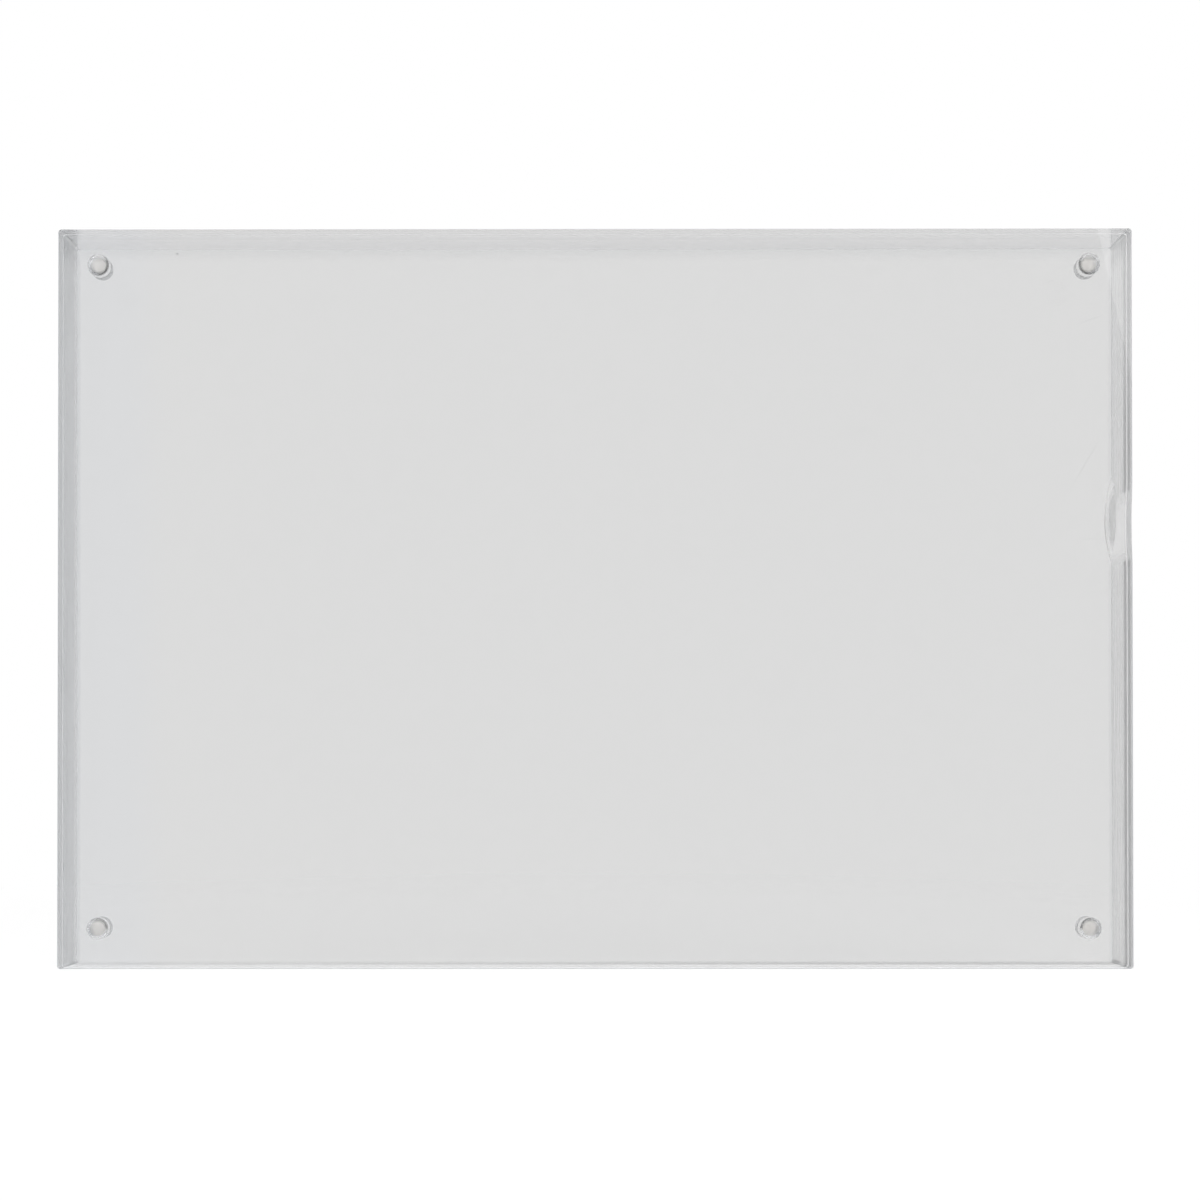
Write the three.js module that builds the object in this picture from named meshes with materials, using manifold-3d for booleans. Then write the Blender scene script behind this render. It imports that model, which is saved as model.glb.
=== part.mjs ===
// A clear acrylic block frame: a thin front panel held on a thick back panel by four pairs of magnets.
// Millimetres, +Z up. X runs to the right as the frame is faced, and the front looks along -Y.
// The origin is under the middle of the frame, on the surface it stands on.

import * as THREE from 'three';
import { mergeVertices } from 'three/addons/utils/BufferGeometryUtils.js';
import Module from 'manifold-3d';

const wasm = await Module();
wasm.setup();

// Panels
const frameWidth = 330.2;
const frameHeight = 227.5;
const frontThickness = 6.35;
const backThickness = 19.05;
const sheetGap = 0.3; // room for one sheet of paper between the panels
const cornerRadius = 0.9; // the four corners, as seen from the front
const easedEdge = 0.25; // quarter round along every edge of a panel

// Magnets, which are discs with a rounded rim
const magnetDiameter = 6.35;
const magnetLength = 2.54;
const magnetRim = 0.35;
const magnetInsetSide = 12; // from a magnet's centre to the left or right side
const magnetInsetTop = 11.2; // and to the top or bottom
const patternRise = 1; // the drilled pattern sits this much above the middle
const patternShift = -0.35; // and this much left of it

// Blind holes for the magnets, drilled from the inner face of each panel
const holeClearance = 0.175; // all round a magnet
const holeRecess = 0.15; // from the inner face down to the magnet
const seatClearance = 0.05; // between a magnet and the shoulder it sits on
const shoulderRadius = 2.2; // where the wall of a hole turns into its drilled point
const drillPointAngle = 135;

// Thumb relief in the right side, left by two wheels: a shallow hollow across both panels
const hollowRadius = 238;
const hollowDepth = 0.35;
const hollowHeight = 136.7; // its middle, above the foot of the frame

// and a scoop out of the rear edge
const scoopRadius = 45.5;
const scoopDepth = 2.2; // at the rear face
const scoopReach = 9; // forward from it
const scoopHeight = 140.8;

// Facets
const roundSides = 32;
const cornerSteps = 3;
const edgeSteps = 2;
const shoulderSteps = 2;
const rimSteps = 1;
const hollowSides = 720;
const scoopSides = 180;
const cutterOverrun = 2; // how far a cutter stands past the face it enters
const mergeDistance = 1e-4;

// Places worked out from the sizes above
const frameDepth = frontThickness + sheetGap + backThickness;
const frontFace = -frameDepth / 2;
const frontInnerFace = frontFace + frontThickness;
const backInnerFace = frontInnerFace + sheetGap;
const rearFace = frontFace + frameDepth;
const magnetRadius = magnetDiameter / 2;
const holeRadius = magnetRadius + holeClearance;

const acrylic = new THREE.MeshStandardMaterial({
  color: 0xe9edec,
  roughness: 0.06,
  metalness: 0,
  transparent: true,
  opacity: 0.35,
});
const nickel = new THREE.MeshStandardMaterial({ color: 0xcfcac0, roughness: 0.25, metalness: 1 });

// Turns a closed geometry into a solid that can be cut.
function solidFrom(geometry) {
  const bare = geometry.clone();
  bare.deleteAttribute('normal');
  bare.deleteAttribute('uv');
  const merged = mergeVertices(bare, mergeDistance);
  const corners = merged.index.array;
  const faces = [];
  for (let i = 0; i < corners.length; i += 3) {
    const [a, b, c] = [corners[i], corners[i + 1], corners[i + 2]];
    if (a !== b && b !== c && c !== a) faces.push(a, b, c);
  }
  const vertProperties = new Float32Array(merged.attributes.position.array);
  return new wasm.Manifold(new wasm.Mesh({ numProp: 3, vertProperties, triVerts: new Uint32Array(faces) }));
}

function geometryFrom(solid) {
  const { vertProperties, triVerts } = solid.getMesh();
  const geometry = new THREE.BufferGeometry();
  geometry.setAttribute('position', new THREE.BufferAttribute(vertProperties, 3));
  geometry.setIndex(new THREE.BufferAttribute(triVerts, 1));
  geometry.computeVertexNormals();
  return geometry;
}

// A plate that stands on z = 0, from its inner face at y = 0 outwards. side is -1 for the front, 1 for the back.
function plate(thickness, side) {
  const right = frameWidth / 2;
  const r = cornerRadius;
  const outline = new THREE.Shape();
  outline.moveTo(-right + r, 0);
  outline.lineTo(right - r, 0);
  outline.absarc(right - r, r, r, -Math.PI / 2, 0);
  outline.lineTo(right, frameHeight - r);
  outline.absarc(right - r, frameHeight - r, r, 0, Math.PI / 2);
  outline.lineTo(-right + r, frameHeight);
  outline.absarc(-right + r, frameHeight - r, r, Math.PI / 2, Math.PI);
  outline.lineTo(-right, r);
  outline.absarc(-right + r, r, r, Math.PI, 1.5 * Math.PI);
  const geometry = new THREE.ExtrudeGeometry(outline, {
    depth: thickness - 2 * easedEdge,
    curveSegments: cornerSteps,
    bevelThickness: easedEdge,
    bevelSize: easedEdge,
    bevelOffset: -easedEdge,
    bevelSegments: edgeSteps,
  });
  geometry.translate(0, 0, easedEdge);
  geometry.rotateX(Math.PI / 2);
  if (side > 0) geometry.translate(0, thickness, 0);
  return geometry;
}

// The blind hole as the drill leaves it: a straight wall, a rounded shoulder and a pointed bottom.
function holeCutter(side) {
  const turn = THREE.MathUtils.degToRad(drillPointAngle / 2);
  const shoulderRun = shoulderRadius * Math.tan(turn / 2);
  const wallEnd = holeRecess + magnetLength + seatClearance;
  const pointEnd = wallEnd + shoulderRun + holeRadius / Math.tan(turn);
  const profile = new THREE.Path();
  profile.moveTo(0, -cutterOverrun);
  profile.lineTo(holeRadius, -cutterOverrun);
  profile.lineTo(holeRadius, wallEnd);
  profile.absarc(holeRadius - shoulderRadius, wallEnd, shoulderRadius, 0, turn);
  profile.lineTo(0, pointEnd);
  const geometry = new THREE.LatheGeometry(profile.getPoints(shoulderSteps), roundSides);
  if (side < 0) geometry.rotateX(Math.PI);
  return geometry;
}

// A wheel laid across the right side. It bites from one depth to the other on its way to the rear face.
function wheelCutter({ radius, height, from, depths, sides }) {
  const run = rearFace - from;
  const tilt = Math.atan((depths[1] - depths[0]) / run);
  const length = (run + 2 * cutterOverrun + 2 * radius * Math.sin(tilt)) / Math.cos(tilt);
  const geometry = new THREE.CylinderGeometry(radius, radius, length, sides);
  geometry.rotateZ(tilt);
  const bite = (depths[0] + depths[1]) / 2;
  geometry.translate(frameWidth / 2 + radius / Math.cos(tilt) - bite, from + run / 2, height);
  return geometry;
}

function thumbRelief() {
  const hollow = wheelCutter({
    radius: hollowRadius,
    height: hollowHeight,
    from: frontFace,
    depths: [hollowDepth, hollowDepth],
    sides: hollowSides,
  });
  const scoop = wheelCutter({
    radius: scoopRadius,
    height: scoopHeight,
    from: rearFace - scoopReach,
    depths: [0, scoopDepth],
    sides: scoopSides,
  });
  return [hollow, scoop];
}

// Centres of the four magnets, by corner.
function magnetCorners() {
  const across = frameWidth / 2 - magnetInsetSide;
  const up = frameHeight / 2 - magnetInsetTop;
  const corners = [];
  for (const [row, rise] of [['upper', up], ['lower', -up]]) {
    for (const [column, run] of [['left', -across], ['right', across]]) {
      corners.push({
        name: `${row}_${column}`,
        x: patternShift + run,
        z: frameHeight / 2 + patternRise + rise,
      });
    }
  }
  return corners;
}

function panel(thickness, side, innerFace) {
  let solid = solidFrom(plate(thickness, side));
  for (const wheel of thumbRelief()) {
    solid = solid.subtract(solidFrom(wheel.translate(0, -innerFace, 0)));
  }
  for (const { x, z } of magnetCorners()) {
    const hole = solidFrom(holeCutter(side).translate(x, 0, z));
    solid = solid.subtract(hole);
  }
  return geometryFrom(solid);
}

// A disc standing on y = 0, with its axis along Y.
function magnet() {
  const inner = magnetRadius - magnetRim;
  const profile = new THREE.Path();
  profile.moveTo(0, 0);
  profile.lineTo(inner, 0);
  profile.absarc(inner, magnetRim, magnetRim, -Math.PI / 2, 0);
  profile.lineTo(magnetRadius, magnetLength - magnetRim);
  profile.absarc(inner, magnetLength - magnetRim, magnetRim, 0, Math.PI / 2);
  profile.lineTo(0, magnetLength);
  return new THREE.LatheGeometry(profile.getPoints(rimSteps), roundSides);
}

function named(name, geometry, material) {
  const mesh = new THREE.Mesh(geometry, material);
  mesh.name = name;
  return mesh;
}

// One panel with its four magnets, placed so that the group's y = 0 is the panel's inner face.
function half(name, thickness, side, innerFace) {
  const group = new THREE.Group();
  group.position.y = innerFace;
  group.add(named(`${name}_panel`, panel(thickness, side, innerFace), acrylic));
  for (const corner of magnetCorners()) {
    const disc = named(`${name}_magnet_${corner.name}`, magnet(), nickel);
    const start = side > 0 ? holeRecess : -holeRecess - magnetLength;
    disc.position.set(corner.x, start, corner.z);
    group.add(disc);
  }
  return group;
}

const frame = new THREE.Group();
frame.add(half('front', frontThickness, -1, frontInnerFace));
frame.add(half('back', backThickness, 1, backInnerFace));

export default frame;
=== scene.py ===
import math

import bpy
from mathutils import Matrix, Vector


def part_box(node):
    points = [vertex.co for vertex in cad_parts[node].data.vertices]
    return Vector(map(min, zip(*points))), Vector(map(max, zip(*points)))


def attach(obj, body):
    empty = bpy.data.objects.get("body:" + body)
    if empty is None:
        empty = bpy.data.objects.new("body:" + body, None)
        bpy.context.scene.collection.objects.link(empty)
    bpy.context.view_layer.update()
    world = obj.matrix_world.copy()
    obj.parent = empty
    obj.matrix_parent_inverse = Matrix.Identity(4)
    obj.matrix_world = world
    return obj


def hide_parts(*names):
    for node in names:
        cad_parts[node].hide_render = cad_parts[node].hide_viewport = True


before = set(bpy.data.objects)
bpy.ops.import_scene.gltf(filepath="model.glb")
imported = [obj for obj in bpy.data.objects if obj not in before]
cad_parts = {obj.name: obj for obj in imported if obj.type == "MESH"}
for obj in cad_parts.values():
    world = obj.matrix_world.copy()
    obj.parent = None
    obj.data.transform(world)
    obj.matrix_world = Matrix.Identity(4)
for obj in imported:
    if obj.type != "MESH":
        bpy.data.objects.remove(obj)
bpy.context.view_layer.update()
print("frame loaded:", len(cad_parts), "nodes")

mm = 0.001
tiny = 0.001 * mm  # places nearer than this are the same
facing = 0.9  # how much of a normal lies along an axis when its face looks that way
flat = 0.999  # and when its face is square to the axis

frontLow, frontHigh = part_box("front_panel")
backLow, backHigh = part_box("back_panel")
frameWidth = frontHigh.x - frontLow.x
frameHeight = frontHigh.z - frontLow.z
frontFace, rearFace = frontLow.y, backHigh.y
corners = ["upper_left", "upper_right", "lower_left", "lower_right"]


# Camera, fitted to the corners of the front face and to the sides that show through it

view = {
    "place": (-7.68 * mm, -431.2 * mm, 56.4 * mm),
    "turn": (0.323, 0.024, 0.08),  # degrees away from level and from straight ahead
    "lens": 40.9,  # mm
    "sensor": 36,  # mm wide
    "shift": (0.0266, 0.1478),
    "nearest": 10 * mm,
}


def setCamera():
    pitch, roll, yaw = (math.radians(angle) for angle in view["turn"])
    bpy.ops.object.camera_add(location=view["place"], rotation=(math.pi / 2 + pitch, roll, yaw))
    camera = bpy.context.object
    camera.data.sensor_width = view["sensor"]
    camera.data.lens = view["lens"]
    camera.data.shift_x, camera.data.shift_y = view["shift"]
    camera.data.clip_start = view["nearest"]
    bpy.context.scene.camera = camera
    print("camera set")


# Modelling helpers

def startFresh():
    bpy.ops.object.select_all(action="DESELECT")


def takeNew(name):
    piece = bpy.context.object  # the primitive that was just added
    piece.name = name
    piece.data.name = name
    bpy.ops.object.transform_apply(location=True, rotation=True, scale=True)
    return piece


def editOnly(piece, kind, test):
    # goes into edit mode with just the faces or edges that pass the test
    bpy.ops.object.mode_set(mode="EDIT")
    bpy.ops.mesh.select_mode(type=kind)
    bpy.ops.mesh.select_all(action="DESELECT")
    bpy.ops.object.mode_set(mode="OBJECT")
    mesh = piece.data
    for item in mesh.polygons if kind == "FACE" else mesh.edges:
        item.select = test(item)
    bpy.ops.object.mode_set(mode="EDIT")


def doneEditing():
    bpy.ops.object.mode_set(mode="OBJECT")


def applyTo(piece, name, kind, **settings):
    startFresh()
    piece.select_set(True)
    bpy.context.view_layer.objects.active = piece
    modifier = piece.modifiers.new(name, kind)
    for setting, value in settings.items():
        setattr(modifier, setting, value)
    bpy.ops.object.modifier_apply(modifier=modifier.name)


def subtract(piece, cutter):
    applyTo(piece, "cut", "BOOLEAN", operation="DIFFERENCE", solver="EXACT", object=cutter)
    bpy.data.objects.remove(cutter)


def smooth(piece, angle):
    startFresh()
    piece.select_set(True)
    bpy.context.view_layer.objects.active = piece
    bpy.ops.object.shade_smooth_by_angle(angle=angle)
    applyTo(piece, "level", "WEIGHTED_NORMAL", keep_sharp=True)  # flat faces stay optically flat


# Magnets

magnetShape = {
    "sides": 96,
    "rim": 0.35 * mm,
    "rimSteps": 5,
    "smoothAngle": math.radians(40),
}


def makeMagnet(cadNode, name):
    low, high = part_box(cadNode)
    middle = (low + high) / 2
    radius = (high.x - low.x) / 2
    startFresh()
    bpy.ops.mesh.primitive_cylinder_add(
        vertices=magnetShape["sides"],
        radius=radius,
        depth=high.y - low.y,
        location=middle,
        rotation=(math.pi / 2, 0, 0),
    )
    magnet = takeNew(name)
    editOnly(magnet, "FACE", lambda face: abs(face.normal.y) > facing)
    bpy.ops.mesh.region_to_loop()
    bpy.ops.mesh.bevel(
        offset=magnetShape["rim"], segments=magnetShape["rimSteps"], affect="EDGES"
    )
    doneEditing()
    editOnly(magnet, "FACE", lambda face: abs(face.normal.y) > flat)
    bpy.ops.mesh.poke()
    doneEditing()
    smooth(magnet, magnetShape["smoothAngle"])
    outward = magnet.data.attributes.new("outward", "FLOAT", "POINT")  # 0 on the axis, 1 at the rim
    points = [point.co - middle for point in magnet.data.vertices]
    outward.data.foreach_set("value", [math.hypot(point.x, point.z) / radius for point in points])
    return magnet


# Holes for the magnets, drilled from the inner face of each panel

hole = {
    "clearance": 0.175 * mm,  # all round a magnet
    "seat": 0.05 * mm,  # between a magnet and the shoulder
    "shoulder": 2.2 * mm,  # radius where the wall turns into the point
    "shoulderSteps": 8,
    "pointAngle": math.radians(135),
    "sides": 96,
    "overrun": 2 * mm,  # how far the drill stands out of the panel
}


def extrude(travel, taper=1, axis=(0, 0, 0)):
    # along the depth, drawn in towards the axis
    bpy.ops.mesh.extrude_region_move(TRANSFORM_OT_translate={"value": (0, travel, 0)})
    if taper != 1:
        bpy.ops.transform.resize(value=(taper, 1, taper), center_override=axis)


def makeDrill(cadNode, innerFace, inwards):
    low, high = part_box(cadNode)
    radius = (high.x - low.x) / 2 + hole["clearance"]
    seat = (low.y if inwards < 0 else high.y) + inwards * hole["seat"]
    start = innerFace - inwards * hole["overrun"]
    axis = Vector(((low.x + high.x) / 2, 0, (low.z + high.z) / 2))
    startFresh()
    bpy.ops.mesh.primitive_circle_add(
        vertices=hole["sides"],
        radius=radius,
        fill_type="NGON",
        location=axis + Vector((0, start, 0)),
        rotation=(math.pi / 2, 0, 0),
    )
    drill = takeNew("drill")
    bpy.ops.object.mode_set(mode="EDIT")
    bpy.ops.mesh.select_all(action="SELECT")
    extrude(seat - start)
    turn = hole["pointAngle"] / 2
    steps = hole["shoulderSteps"]
    reach, depth = radius, 0
    for step in range(1, steps + 1):
        angle = turn * step / steps
        nextReach = radius - hole["shoulder"] * (1 - math.cos(angle))
        nextDepth = hole["shoulder"] * math.sin(angle)
        extrude(inwards * (nextDepth - depth), nextReach / reach, axis)
        reach, depth = nextReach, nextDepth
    extrude(inwards * reach / math.tan(turn))
    bpy.ops.mesh.merge(type="CENTER")
    bpy.ops.mesh.select_all(action="SELECT")
    bpy.ops.mesh.normals_make_consistent(inside=False)
    doneEditing()
    return drill


# Thumb hold in the right side: a shallow hollow across both panels, and a scoop out of its rear edge

hollow = {
    "radius": 238 * mm,
    "height": 136.7 * mm,  # its middle, above the foot
    "depth": 0.35 * mm,
    "sides": 3600,
}
scoop = {
    "radius": 45.5 * mm,
    "height": 140.8 * mm,
    "depth": 2.2 * mm,  # at the rear face
    "reach": 9 * mm,  # forward from it
    "sides": 720,
}
wheelOverrun = 2 * mm  # how far a wheel stands past the front and the rear face
wheelTrace = 0.01 * mm  # how near to a wheel's rim lie the faces that it left


def makeWheel(shape, fromY, fromDepth, toDepth):
    # lies across the right side and bites from one depth to the other on its way to the rear face,
    # and the shape keeps where it stood, for cutBy
    run = rearFace - fromY
    tilt = math.atan((toDepth - fromDepth) / run)
    length = (run + 2 * wheelOverrun + 2 * shape["radius"] * math.sin(tilt)) / math.cos(tilt)
    reach = shape["radius"] / math.cos(tilt) - (fromDepth + toDepth) / 2
    shape["middle"] = Vector((frameWidth / 2 + reach, fromY + run / 2, shape["height"]))
    shape["axle"] = Vector((-math.sin(tilt), math.cos(tilt), 0))
    startFresh()
    bpy.ops.mesh.primitive_cylinder_add(
        vertices=shape["sides"],
        radius=shape["radius"],
        depth=length,
        location=shape["middle"],
        rotation=(math.pi / 2, 0, tilt),
    )
    return takeNew("wheel")


def cutBy(shape, place):
    # whether the place lies on what this wheel left
    away = place - shape["middle"]
    away -= shape["axle"] * away.dot(shape["axle"])
    return abs(away.length - shape["radius"]) < wheelTrace


# Panels

panel = {
    "cornerRadius": 0.9 * mm,
    "cornerSteps": 6,
    "frontEdge": 0.25 * mm,
    "otherEdges": 0.05 * mm,
    "edgeSteps": 4,
    "smoothAngle": math.radians(30),
}


def alongDepth(points, edge):
    first, second = (points[i].co for i in edge.vertices)
    return abs(first.x - second.x) < tiny and abs(first.z - second.z) < tiny


def makePlate(name, low, high, frontEdge, rearEdge):
    startFresh()
    bpy.ops.mesh.primitive_cube_add(size=1, location=(low + high) / 2, scale=high - low)
    plate = takeNew(name)
    points = plate.data.vertices
    editOnly(plate, "EDGE", lambda edge: alongDepth(points, edge))
    bpy.ops.mesh.bevel(
        offset=panel["cornerRadius"], segments=panel["cornerSteps"], affect="EDGES"
    )
    doneEditing()
    for outwards, edge in ((-1, frontEdge), (1, rearEdge)):
        editOnly(plate, "FACE", lambda face: face.normal.y * outwards > facing)
        bpy.ops.mesh.region_to_loop()
        bpy.ops.mesh.bevel(offset=edge, segments=panel["edgeSteps"], affect="EDGES")
        doneEditing()
    return plate


def makePanel(name, side, innerFace, inwards):
    low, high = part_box(side + "_panel")
    frontEdge = panel["frontEdge"] if side == "front" else panel["otherEdges"]
    plate = makePlate(name, low, high, frontEdge, panel["otherEdges"])
    subtract(plate, makeWheel(hollow, frontFace, hollow["depth"], hollow["depth"]))
    if side == "back":
        subtract(plate, makeWheel(scoop, rearFace - scoop["reach"], 0, scoop["depth"]))
    for corner in corners:
        subtract(plate, makeDrill(side + "_magnet_" + corner, innerFace, inwards))
    smooth(plate, panel["smoothAngle"])
    markFinishes(plate, side)
    print(name, "made with", len(plate.data.polygons), "faces")
    return plate


# Finish of the sides and of the drilled holes

finish = {
    "haze": {  # what the saw and sandpaper left on the left, right, top and bottom
        "front": (0.9, 0.85, 0.25, 0.85),
        "back": (0.85, 0.6, 0.25, 0.5),
    },
    "corner": 0.78,  # and on the rounded corners between them
    "wall": {"front": (0.4, 0.1), "back": (1, 0.9)},  # of a hole: how drilled and how hazy it looks
    "point": {"front": (1, 0.08), "back": (1, 0.6)},
    "wallSlope": 0.05,  # a face of a hole that leans more than this is part of the point
    "inside": 3 * mm,  # further in from the sides than this lie only the holes
}


def markFinishes(plate, side):
    # for the material: haze, and what the scoop's wheel and the drill left
    faces = plate.data.polygons
    marks = {name: [0.0] * len(faces) for name in ["sanded", "scooped", "drilled"]}
    right = frameWidth / 2
    for face in faces:
        x, y, z = face.center
        fromSides = [right + x, right - x, frameHeight - z, z]
        nearest, nextNearest = sorted(fromSides)[:2]
        slope = abs(face.normal.y)
        if side == "back" and face.normal.x > facing and cutBy(scoop, face.center):
            marks["scooped"][face.index] = 1
        elif nearest < panel["cornerRadius"] and slope < flat:
            haze = finish["haze"][side][fromSides.index(nearest)]
            atCorner = nextNearest < panel["cornerRadius"]
            marks["sanded"][face.index] = finish["corner"] if atCorner else haze
        elif nearest > finish["inside"] and slope < flat:
            part = "wall" if slope < finish["wallSlope"] else "point"
            marks["drilled"][face.index], marks["sanded"][face.index] = finish[part][side]
    for name, values in marks.items():
        mark = plate.data.attributes.new(name, "FLOAT", "FACE")
        mark.data.foreach_set("value", values)


# Material helpers

def newMaterial(name):
    material = bpy.data.materials.new(name)
    material.use_nodes = True
    return material, material.node_tree


def node(tree, kind, **settings):
    made = tree.nodes.new(kind)
    for setting, value in settings.items():
        setattr(made, setting, value)
    return made


def feed(tree, socket, value):
    if isinstance(value, bpy.types.NodeSocket):
        tree.links.new(value, socket)
    else:
        socket.default_value = value


def maths(tree, operation, *values, clamp=False):
    step = node(tree, "ShaderNodeMath", operation=operation, use_clamp=clamp)
    for socket, value in zip(step.inputs, values):
        feed(tree, socket, value)
    return step.outputs[0]


def product(tree, *values):
    result = values[0]
    for value in values[1:]:
        result = maths(tree, "MULTIPLY", result, value)
    return result


def most(tree, *values):
    result = values[0]
    for value in values[1:]:
        result = maths(tree, "MAXIMUM", result, value)
    return result


def distance(tree, value, middle):
    return maths(tree, "ABSOLUTE", maths(tree, "SUBTRACT", value, middle))


def beyond(tree, value, edge):
    # 1 past the edge, 0 before it
    return maths(tree, "GREATER_THAN", value, edge)


def ramp(tree, value, start, end, first=0, last=1, kind="SMOOTHSTEP"):
    # goes from first to last as value goes from start to end
    step = node(tree, "ShaderNodeMapRange", interpolation_type=kind)
    for socket, item in zip(step.inputs, (value, start, end, first, last)):
        feed(tree, socket, item)
    return step.outputs[0]


lineCore = 0.3  # the share of a line's reach over which it is at full strength


def band(tree, value, middle, reach, strength):
    # a soft line across the middle, which fades out at its reach
    return ramp(tree, distance(tree, value, middle), lineCore * reach, reach, strength, 0)


def blendValue(tree, mask, off, on):
    return ramp(tree, mask, 0, 1, off, on, "LINEAR")


def blendColour(tree, mask, off, on):
    step = node(tree, "ShaderNodeMix", data_type="RGBA")
    tree.links.new(mask, step.inputs["Factor"])
    for name, value in (("A", off), ("B", on)):
        socket = next(s for s in step.inputs if s.name == name and s.type == "RGBA")
        feed(tree, socket, (*value, 1) if isinstance(value, tuple) else value)
    return next(s for s in step.outputs if s.type == "RGBA")


def blendShader(tree, mask, off, on):
    step = node(tree, "ShaderNodeMixShader")
    for socket, value in zip(step.inputs, (mask, off, on)):
        tree.links.new(value, socket)
    return step.outputs[0]


def spotOn(tree):
    return node(tree, "ShaderNodeTexCoord").outputs["Object"]


def apart(tree, spot):
    # its x, y and z
    step = node(tree, "ShaderNodeSeparateXYZ")
    tree.links.new(spot, step.inputs[0])
    return step.outputs


def lengthOf(tree, away):
    step = node(tree, "ShaderNodeVectorMath", operation="LENGTH")
    tree.links.new(away, step.inputs[0])
    return step.outputs["Value"]


def attribute(tree, name):
    return node(tree, "ShaderNodeAttribute", attribute_name=name).outputs["Fac"]


def noise(tree, spot, stretch, detail=3, rough=0.55):
    # stretch: how many ripples to the metre along x, y and z
    moved = node(tree, "ShaderNodeMapping")
    moved.inputs["Scale"].default_value = stretch
    tree.links.new(spot, moved.inputs["Vector"])
    made = node(tree, "ShaderNodeTexNoise")
    made.inputs["Scale"].default_value = 1
    made.inputs["Detail"].default_value = detail
    made.inputs["Roughness"].default_value = rough
    tree.links.new(moved.outputs[0], made.inputs["Vector"])
    return made.outputs["Fac"]


def bump(tree, relief, height, strength):
    step = node(tree, "ShaderNodeBump")
    step.inputs["Distance"].default_value = height
    step.inputs["Strength"].default_value = strength
    tree.links.new(relief, step.inputs["Height"])
    return step.outputs[0]


# Clear acrylic, with sanded sides and painted shade lines on them

acrylic = {
    "index": 1.49,
    "clearColour": (0.84, 0.8385, 0.8385),
    "leftColour": (0.833, 0.835, 0.841),  # the cooler left margin
    "leftMargin": (-132 * mm, -146 * mm),  # x where it starts and is full
    "sandedColour": (0.705, 0.726, 0.76),
    # the colour of the painted shade along the sides
    "paintedShadeColour": (0.34, 0.345, 0.36),
    "clearRoughness": 0.01,
    "smears": ((22, 22, 60), 0.45, 0.7, 0.035),  # ripples, start and end, and the roughness there
    "sandedRoughness": 0.45,
    "drilledRoughness": 0.42,
    "sandedClearness": 0.6,
    # how much light still passes where the shade is painted
    "paintedShadeClearness": 0.3,
    "bodyColour": (0.7, 0.85, 0.82),  # what a metre of it lets through, by hue
    "bodyDensity": 1.0,
    "shade": (0.9, 0.9, 0.9),  # what each surface lets through of a lamp's light
}
sanding = {
    "ripples": (30, 2600, 30),  # to the metre: fine lines that run along each side
    "grain": (4, 0.7),  # the noise's detail and roughness
    "range": (0.3, 0.7),  # the noise's own lowest and highest
    "strength": 0.2,  # how much the lines change the haze
    "bumpFrom": (0.3, 0.6),  # the haze at which they are felt, and felt in full
    "relief": (0.01 * mm, 0.15),  # height and strength of the bump
    "fade": (-6 * mm, 0.5),  # on the left, from here to the rear face, the haze falls to half
    "leftRim": (1.7 * mm, 0.45),  # and goes on round the rear edge: how far, how much
    "rightRim": (1.6 * mm, 0.3),
    "topRim": (4.5 * mm, 0.27),
    "thumbPolish": (4 * mm, 12 * mm, 0.08),  # near the thumb hold's middle only this much is left
    "scoop": (-5.3 * mm, 4.2 * mm, 0.65),  # middle from the rear face, reach, how much
    "scoopEnds": (6 * mm, 13.5 * mm, 1, 0.4),  # from its middle up or down, how it fades
    "scoopRest": 0.13,  # all over the scoop
}
# painted shade: dark lines and darker ends put on the sides in place of the shade that the clear
# plastic shows there
paintedShadeLines = {  # middle, reach and how dark, if nothing else is said
    "byJoint": [(-2.2 * mm, 2.1 * mm, 0.9), (2.4 * mm, 2.5 * mm, 1.0)],  # from the joint, on the right
    "byJointFade": (165 * mm, 200 * mm, 1, 0.65),  # paler towards the top
    "thumbGap": (10 * mm, 11.2 * mm),  # they stop this near to the thumb hold's middle
    "leftSide": (-0.85 * mm, 0.6 * mm, 0.35),  # from the joint
    "leftEnds": [(82 * mm, 90 * mm), (144 * mm, 136 * mm)],  # heights where it starts and is full
    "foot": (-5.5 * mm, 7 * mm, 1.0),  # from the rear face
    "footEnds": (0.6, 1.0),  # how much of it shows on the left and on the right
    "footReach": 1 * mm,  # what is lower than this is the foot
    "upperEnds": (-3.5 * mm, 4.5 * mm, 0.3),  # from the top, on the left and right of the back panel
    "leastHaze": 0.3,  # only sides with more haze than this show them
}
sideReach = 2 * mm  # what is nearer to a side than this is the side


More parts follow.
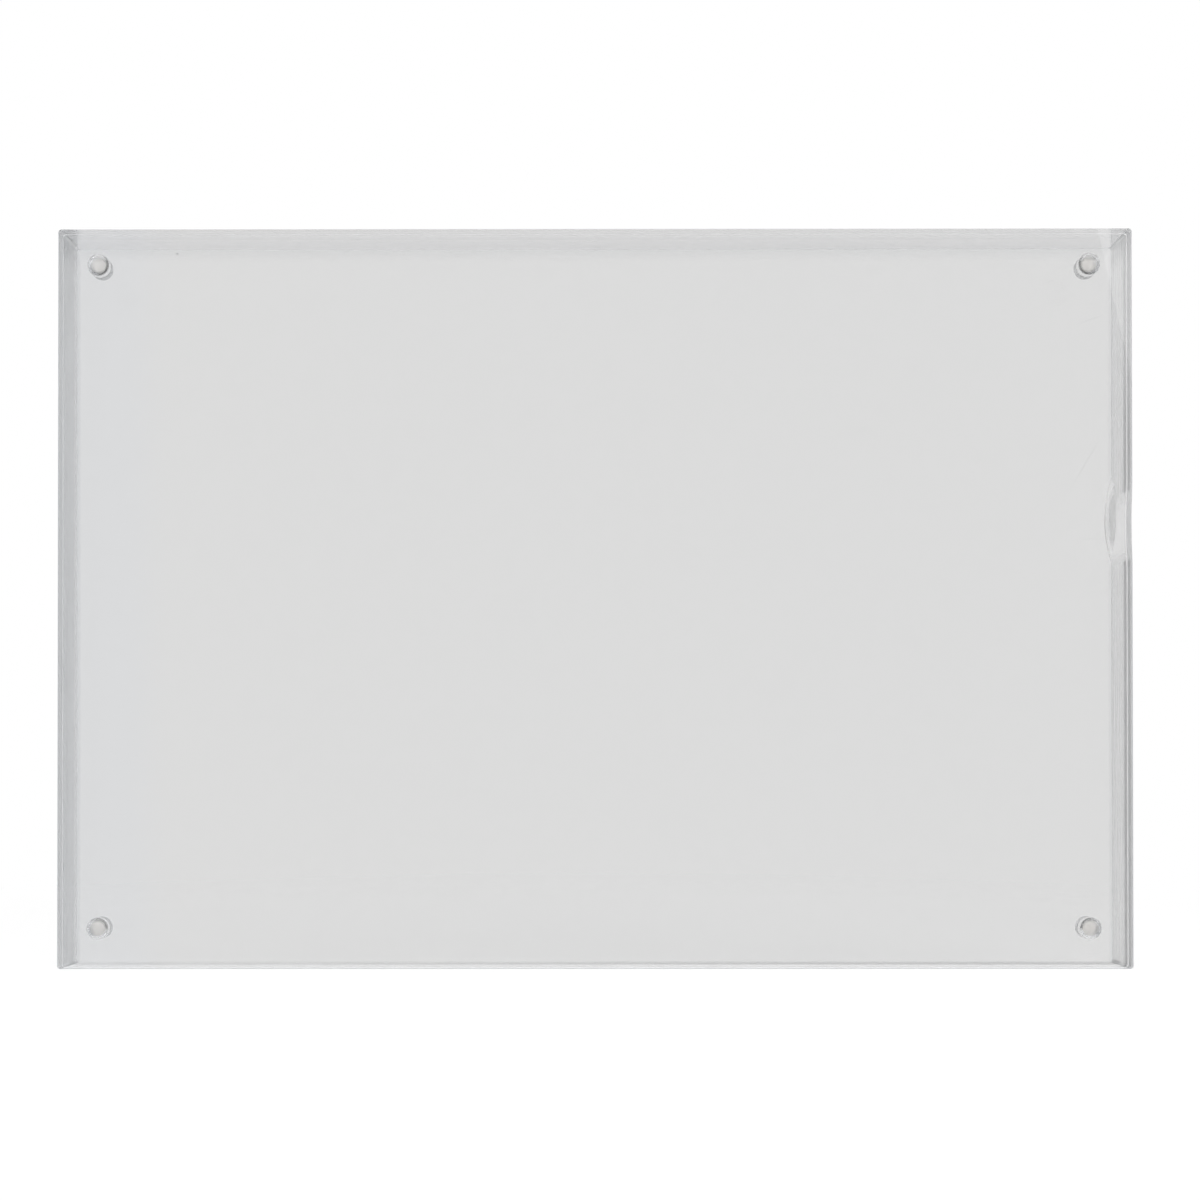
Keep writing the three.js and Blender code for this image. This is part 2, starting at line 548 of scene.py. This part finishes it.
def makeHaze(tree, at):
    # the haze of the sides, with its lines, and what of it reaches round onto the rear face
    scooped = product(
        tree,
        band(tree, at["fromRear"], *sanding["scoop"]),
        ramp(tree, distance(tree, at["z"], scoop["height"]), *sanding["scoopEnds"]),
    )
    scooped = most(tree, scooped, sanding["scoopRest"])
    inScoop = attribute(tree, "scooped")
    haze = blendValue(tree, inScoop, at["sanded"], scooped)

    start, least = sanding["fade"]
    faded = ramp(tree, at["fromRear"], start, 0, 1, least)
    faded = blendValue(tree, beyond(tree, at["x"], 0), faded, 1)

    near, far, least = sanding["thumbPolish"]
    rubbed = ramp(tree, at["fromThumb"], near, far, least, 1)
    touched = product(tree, at["onRight"], beyond(tree, at["y"], backLow.y), beyond(tree, 1, inScoop))
    rubbed = blendValue(tree, touched, 1, rubbed)

    low, high = sanding["range"]
    strength = sanding["strength"]
    lines = ramp(tree, at["lines"], low, high, 1 - strength, 1 + strength, "LINEAR")
    sides = product(tree, haze, faded, rubbed, lines)

    rims = []
    for name, value, edge, inwards in [
        ("leftRim", at["x"], -frameWidth / 2, 1),
        ("rightRim", at["x"], frameWidth / 2, -1),
        ("topRim", at["z"], frameHeight, -1),
    ]:
        reach, strength = sanding[name]
        rims.append(ramp(tree, value, edge, edge + inwards * reach, strength, 0))
    rim = product(tree, most(tree, *rims), beyond(tree, at["fromRear"], -tiny))
    return maths(tree, "MAXIMUM", sides, rim, clamp=True)


def makePaintedShadeLines(tree, at):
    # painted shade: dark lines beside the joint and along the foot, and the darker ends of the back
    # panel, standing in for shade seen through the clear plastic
    fromJoint = maths(tree, "SUBTRACT", at["y"], (frontHigh.y + backLow.y) / 2)
    right = product(
        tree,
        most(tree, *[band(tree, fromJoint, *line) for line in paintedShadeLines["byJoint"]]),
        at["onRight"],
        ramp(tree, at["fromThumb"], *paintedShadeLines["thumbGap"]),
        ramp(tree, at["z"], *paintedShadeLines["byJointFade"]),
    )
    left = product(
        tree,
        band(tree, fromJoint, *paintedShadeLines["leftSide"]),
        at["onLeft"],
        *[ramp(tree, at["z"], *end) for end in paintedShadeLines["leftEnds"]],
    )
    ends = product(
        tree,
        band(tree, maths(tree, "SUBTRACT", at["z"], frameHeight), *paintedShadeLines["upperEnds"]),
        most(tree, at["onLeft"], at["onRight"]),
        beyond(tree, fromJoint, 0),
    )
    foot = product(
        tree,
        band(tree, at["fromRear"], *paintedShadeLines["foot"]),
        ramp(tree, at["x"], -frameWidth / 2, frameWidth / 2, *paintedShadeLines["footEnds"]),
        beyond(tree, paintedShadeLines["footReach"], at["z"]),
    )
    onSide = beyond(tree, at["sanded"], paintedShadeLines["leastHaze"])
    return product(tree, most(tree, right, left, ends, foot), onSide)


wear = {
    "scratches": [  # on the front face, from x, z to x, z in mm, with half its width and how strong
        (156.5, 165.0, 144.2, 144.2, 0.2, 0.22),
        (147.3, 197.8, 157.1, 200.9, 0.2, 0.2),
        (137.1, 210.4, 142.7, 211.7, 0.18, 0.2),
        (145.7, 131.9, 162.6, 131.9, 0.18, 0.15),
        (75.8, 163.2, 91.1, 169.3, 0.18, 0.16),
        (0.6, 220.6, 0.6, 226.4, 0.16, 0.2),
        (-128.7, 219.8, -128.1, 219.9, 0.4, 1.0),  # a speck, as the next
        (130.3, 221.7, 130.9, 221.8, 0.35, 0.4),
    ],
    "colour": (0.35, 0.35, 0.36),
    "roughness": 0.3,
}


def makeScratches(tree, at):
    # each is a long oval that fades towards its edge
    marks = []
    for x1, z1, x2, z2, halfWidth, strength in wear["scratches"]:
        run, rise = (x2 - x1) * mm, (z2 - z1) * mm
        halfLength = math.hypot(run, rise) / 2 + halfWidth * mm
        oval = node(tree, "ShaderNodeMapping", vector_type="TEXTURE")
        oval.inputs["Location"].default_value = ((x1 + x2) / 2 * mm, frontFace, (z1 + z2) / 2 * mm)
        oval.inputs["Rotation"].default_value = (0, math.atan2(-rise, run), 0)
        oval.inputs["Scale"].default_value = (halfLength, 1, halfWidth * mm)
        tree.links.new(at["spot"], oval.inputs["Vector"])
        marks.append(ramp(tree, lengthOf(tree, oval.outputs[0]), lineCore, 1, strength, 0))
    return product(tree, most(tree, *marks), beyond(tree, frontFace + tiny, at["y"]))


def makeAcrylic():
    material, tree = newMaterial("clearAcrylic")
    surface = tree.nodes["Principled BSDF"]
    output = tree.nodes["Material Output"]
    surface.inputs["IOR"].default_value = acrylic["index"]

    spot = spotOn(tree)
    x, y, z = apart(tree, spot)
    at = {  # what several of the marks are placed by
        "spot": spot,
        "x": x,
        "y": y,
        "z": z,
        "onLeft": beyond(tree, sideReach - frameWidth / 2, x),
        "onRight": beyond(tree, x, frameWidth / 2 - sideReach),
        "fromRear": maths(tree, "SUBTRACT", y, rearFace),
        "fromThumb": distance(tree, z, hollow["height"]),
        "sanded": attribute(tree, "sanded"),
        "lines": noise(tree, spot, sanding["ripples"], *sanding["grain"]),
    }
    haze = makeHaze(tree, at)
    # painted shade along the sides
    dark = makePaintedShadeLines(tree, at)
    worn = makeScratches(tree, at)
    drilled = attribute(tree, "drilled")

    margin = ramp(tree, x, *acrylic["leftMargin"])
    colour = blendColour(tree, margin, acrylic["clearColour"], acrylic["leftColour"])
    colour = blendColour(tree, haze, colour, acrylic["sandedColour"])
    colour = blendColour(tree, dark, colour, acrylic["paintedShadeColour"])
    colour = blendColour(tree, worn, colour, wear["colour"])
    tree.links.new(colour, surface.inputs["Base Color"])

    ripples, start, end, smeared = acrylic["smears"]
    rough = ramp(tree, noise(tree, spot, ripples), start, end, acrylic["clearRoughness"], smeared)
    rough = blendValue(tree, haze, rough, acrylic["sandedRoughness"])
    rough = blendValue(tree, drilled, rough, acrylic["drilledRoughness"])
    rough = blendValue(tree, worn, rough, wear["roughness"])
    tree.links.new(rough, surface.inputs["Roughness"])

    tooled = most(tree, ramp(tree, at["sanded"], *sanding["bumpFrom"]), drilled)
    relief = bump(tree, product(tree, at["lines"], tooled), *sanding["relief"])
    tree.links.new(relief, surface.inputs["Normal"])

    clear = blendValue(tree, haze, 1, acrylic["sandedClearness"])
    clear = blendValue(tree, dark, clear, acrylic["paintedShadeClearness"])
    tree.links.new(clear, surface.inputs["Transmission Weight"])

    inside = node(tree, "ShaderNodeVolumeAbsorption")
    inside.inputs["Color"].default_value = (*acrylic["bodyColour"], 1)
    inside.inputs["Density"].default_value = acrylic["bodyDensity"]
    tree.links.new(inside.outputs[0], output.inputs["Volume"])

    # lamps shine through, dimmed a little by each surface
    ray = node(tree, "ShaderNodeLightPath")
    through = node(tree, "ShaderNodeBsdfTransparent")
    through.inputs["Color"].default_value = (*acrylic["shade"], 1)
    shown = blendShader(tree, ray.outputs["Is Shadow Ray"], surface.outputs[0], through.outputs[0])
    tree.links.new(shown, output.inputs["Surface"])
    return material


# Nickel plating of the magnets

nickel = {
    "brightColour": (1.0, 0.98, 0.945),
    "dullColour": (0.76, 0.735, 0.7),
    "roughness": (0.26, 0.45),  # where it is bright and where it is dull
    "patches": ((650, 650, 650), 0.47, 0.66, 0.55),  # ripples, where one starts and is full, how dull
    "grain": (5, 0.6),  # the patches' detail and roughness
    "scratches": ((300, 300, 9000), 0.6, 0.75, 0.35),
    "rimWear": (0.72, 1.0, 0.45),
    "relief": (0.012 * mm, 0.25),  # height and strength of the bump
}


def makeNickel():
    material, tree = newMaterial("nickelPlate")
    surface = tree.nodes["Principled BSDF"]
    surface.inputs["Metallic"].default_value = 1
    spot = spotOn(tree)
    ripples, start, full, strength = nickel["patches"]
    patches = noise(tree, spot, ripples, *nickel["grain"])
    dull = ramp(tree, patches, start, full, 0, strength)
    ripples, start, full, strength = nickel["scratches"]
    scratches = ramp(tree, noise(tree, spot, ripples), start, full, 0, strength)
    start, full, strength = nickel["rimWear"]
    rim = ramp(tree, attribute(tree, "outward"), start, full, 0, strength)
    dull = most(tree, dull, rim, scratches)
    colour = blendColour(tree, dull, nickel["brightColour"], nickel["dullColour"])
    tree.links.new(colour, surface.inputs["Base Color"])
    tree.links.new(blendValue(tree, dull, *nickel["roughness"]), surface.inputs["Roughness"])
    relief = bump(tree, maths(tree, "SUBTRACT", patches, scratches), *nickel["relief"])
    tree.links.new(relief, surface.inputs["Normal"])
    return material


# Studio

studio = {
    "floorSide": 40,  # metres
    "floorColour": 0.6,
    "floorGlow": 0.6,  # brings the open floor to white
    "shadowReach": (0.12, 0.28),  # metres from the frame over which the floor turns plain white
    "worldLight": 0.5,
    "lampSide": 1.5,
    "lampBrightness": 1.4,
    "lampPlaces": [(-1.3, -1.2, 1.1), (1.3, -1.2, 1.1)],
}
white = (1, 1, 1, 1)


def seenDirectly(tree):
    # 1 for what the lens, a shiny surface or the clear panels look at
    ray = node(tree, "ShaderNodeLightPath").outputs
    return most(tree, ray["Is Camera Ray"], ray["Is Glossy Ray"], ray["Is Transmission Ray"])


def makeFloor():
    startFresh()
    bpy.ops.mesh.primitive_plane_add(size=studio["floorSide"], location=(0, 0, 0))
    floor = bpy.context.object
    floor.name = "floor"
    material, tree = newMaterial("floorPaper")
    paper = tree.nodes["Principled BSDF"]
    paper.inputs["Base Color"].default_value = (*[studio["floorColour"]] * 3, 1)
    paper.inputs["Roughness"].default_value = 1
    paper.inputs["Specular IOR Level"].default_value = 0
    glow = node(tree, "ShaderNodeEmission")
    glow.inputs["Strength"].default_value = studio["floorGlow"]
    lit = node(tree, "ShaderNodeAddShader")
    tree.links.new(paper.outputs[0], lit.inputs[0])
    tree.links.new(glow.outputs[0], lit.inputs[1])
    plain = node(tree, "ShaderNodeEmission")
    start, end = (frameWidth / 2 + reach for reach in studio["shadowReach"])
    away = ramp(tree, lengthOf(tree, spotOn(tree)), start, end)
    far = blendShader(tree, away, lit.outputs[0], plain.outputs[0])
    shown = blendShader(tree, seenDirectly(tree), paper.outputs[0], far)
    tree.links.new(shown, tree.nodes["Material Output"].inputs["Surface"])
    floor.data.materials.append(material)


def makeLight():
    world = bpy.data.worlds.new("studio")
    world.use_nodes = True
    bpy.context.scene.world = world
    tree = world.node_tree
    light = tree.nodes["Background"]
    light.inputs["Color"].default_value = white
    light.inputs["Strength"].default_value = studio["worldLight"]
    backdrop = node(tree, "ShaderNodeBackground")
    backdrop.inputs["Color"].default_value = white
    shown = blendShader(tree, seenDirectly(tree), light.outputs[0], backdrop.outputs[0])
    tree.links.new(shown, tree.nodes["World Output"].inputs["Surface"])

    target = Vector((0, 0, frameHeight / 2))
    for place in studio["lampPlaces"]:
        aim = (target - Vector(place)).to_track_quat("-Z", "Y").to_euler()
        bpy.ops.object.light_add(type="AREA", location=place, rotation=aim)
        lamp = bpy.context.object
        lamp.data.size = studio["lampSide"]
        lamp.data.energy = studio["lampBrightness"] * math.pi * studio["lampSide"] ** 2
        lamp.visible_camera = False
        lamp.visible_transmission = False
    print("studio set")


bounces = {  # light in clear plastic turns back many times before it leaves
    "max_bounces": 20,
    "transmission_bounces": 20,
    "glossy_bounces": 8,
    "transparent_max_bounces": 24,
}


# The whole frame

halves = [  # body, panel, inner face, and the way from there into the panel
    ("front", "frontPanel", frontHigh.y, -1),
    ("back", "backPanel", backLow.y, 1),
]


def dress(piece, material):
    piece.data.materials.clear()
    piece.data.materials.append(material)


def build():
    setCamera()
    clear = makeAcrylic()
    plating = makeNickel()
    print("acrylic and nickel made")
    for body, name, innerFace, inwards in halves:
        plate = makePanel(name, body, innerFace, inwards)
        dress(plate, clear)
        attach(plate, body)
        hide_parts(body + "_panel")
        for corner in corners:
            cadNode = body + "_magnet_" + corner
            place = "".join(word.capitalize() for word in corner.split("_"))
            magnet = makeMagnet(cadNode, body + "Magnet" + place)
            dress(magnet, plating)
            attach(magnet, body)
            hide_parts(cadNode)
        print(body, "half finished")
    makeFloor()
    makeLight()
    bpy.context.scene.view_settings.view_transform = "Standard"
    for setting, value in bounces.items():
        setattr(bpy.context.scene.cycles, setting, value)


build()
